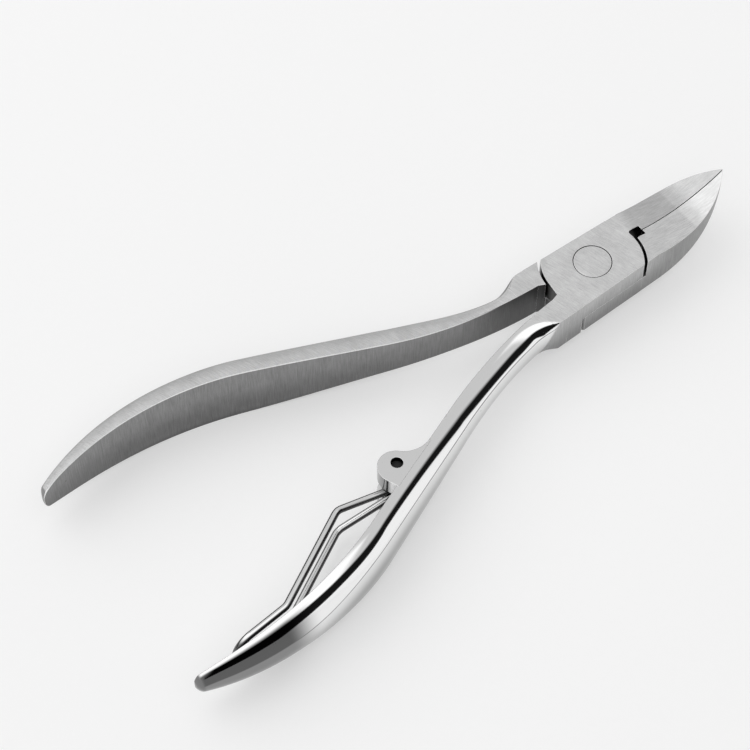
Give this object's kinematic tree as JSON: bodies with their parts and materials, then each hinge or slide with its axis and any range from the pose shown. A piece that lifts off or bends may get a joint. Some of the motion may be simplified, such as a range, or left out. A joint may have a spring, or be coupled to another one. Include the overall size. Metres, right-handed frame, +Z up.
{
  "type": "nail clipper",
  "caption": "Plier-type nail nipper: two crossed levers in a riveted lap joint, concave cutting jaws, splayed bowed handles and a hinged hairpin wire spring.",
  "frame": {"origin": "centre of the closed tool's footprint, on the plane that the handles' lower edges touch", "axes": "+X from the handles to the jaw tips, along the centre line; +Y towards the handle without the spring; +Z up, along the pivot rivet"},
  "size_m": [0.1172, 0.0466, 0.0114],
  "materials": {
    "polished_steel": "mirror-polished stainless steel, joint and jaw satin ground",
    "brushed_steel": "matte brushed stainless steel",
    "rivet_steel": "satin, ground flush with the joint",
    "pin_steel": "plain drawn pin",
    "spring_steel": "bright drawn wire"
  },
  "bodies": {
    "upper": {"upper_lever": "polished_steel", "pivot_rivet": "rivet_steel", "spring_pin": "pin_steel"},
    "lower": {"lower_lever": "brushed_steel"},
    "spring": {"return_spring": "spring_steel"}
  },
  "joints": [
    {"name": "lever_pivot", "type": "hinge", "parent": "upper", "child": "lower", "pos_m": [0.03135, 0, 0.0057], "axis": [0, 0, -1], "range_deg": [0, 24]},
    {"name": "spring_hinge", "type": "hinge", "parent": "upper", "child": "spring", "pos_m": [-0.01565, -0.0103, 0.0057], "axis": [0, 0, -1], "range_deg": [0, 65]}
  ]
}
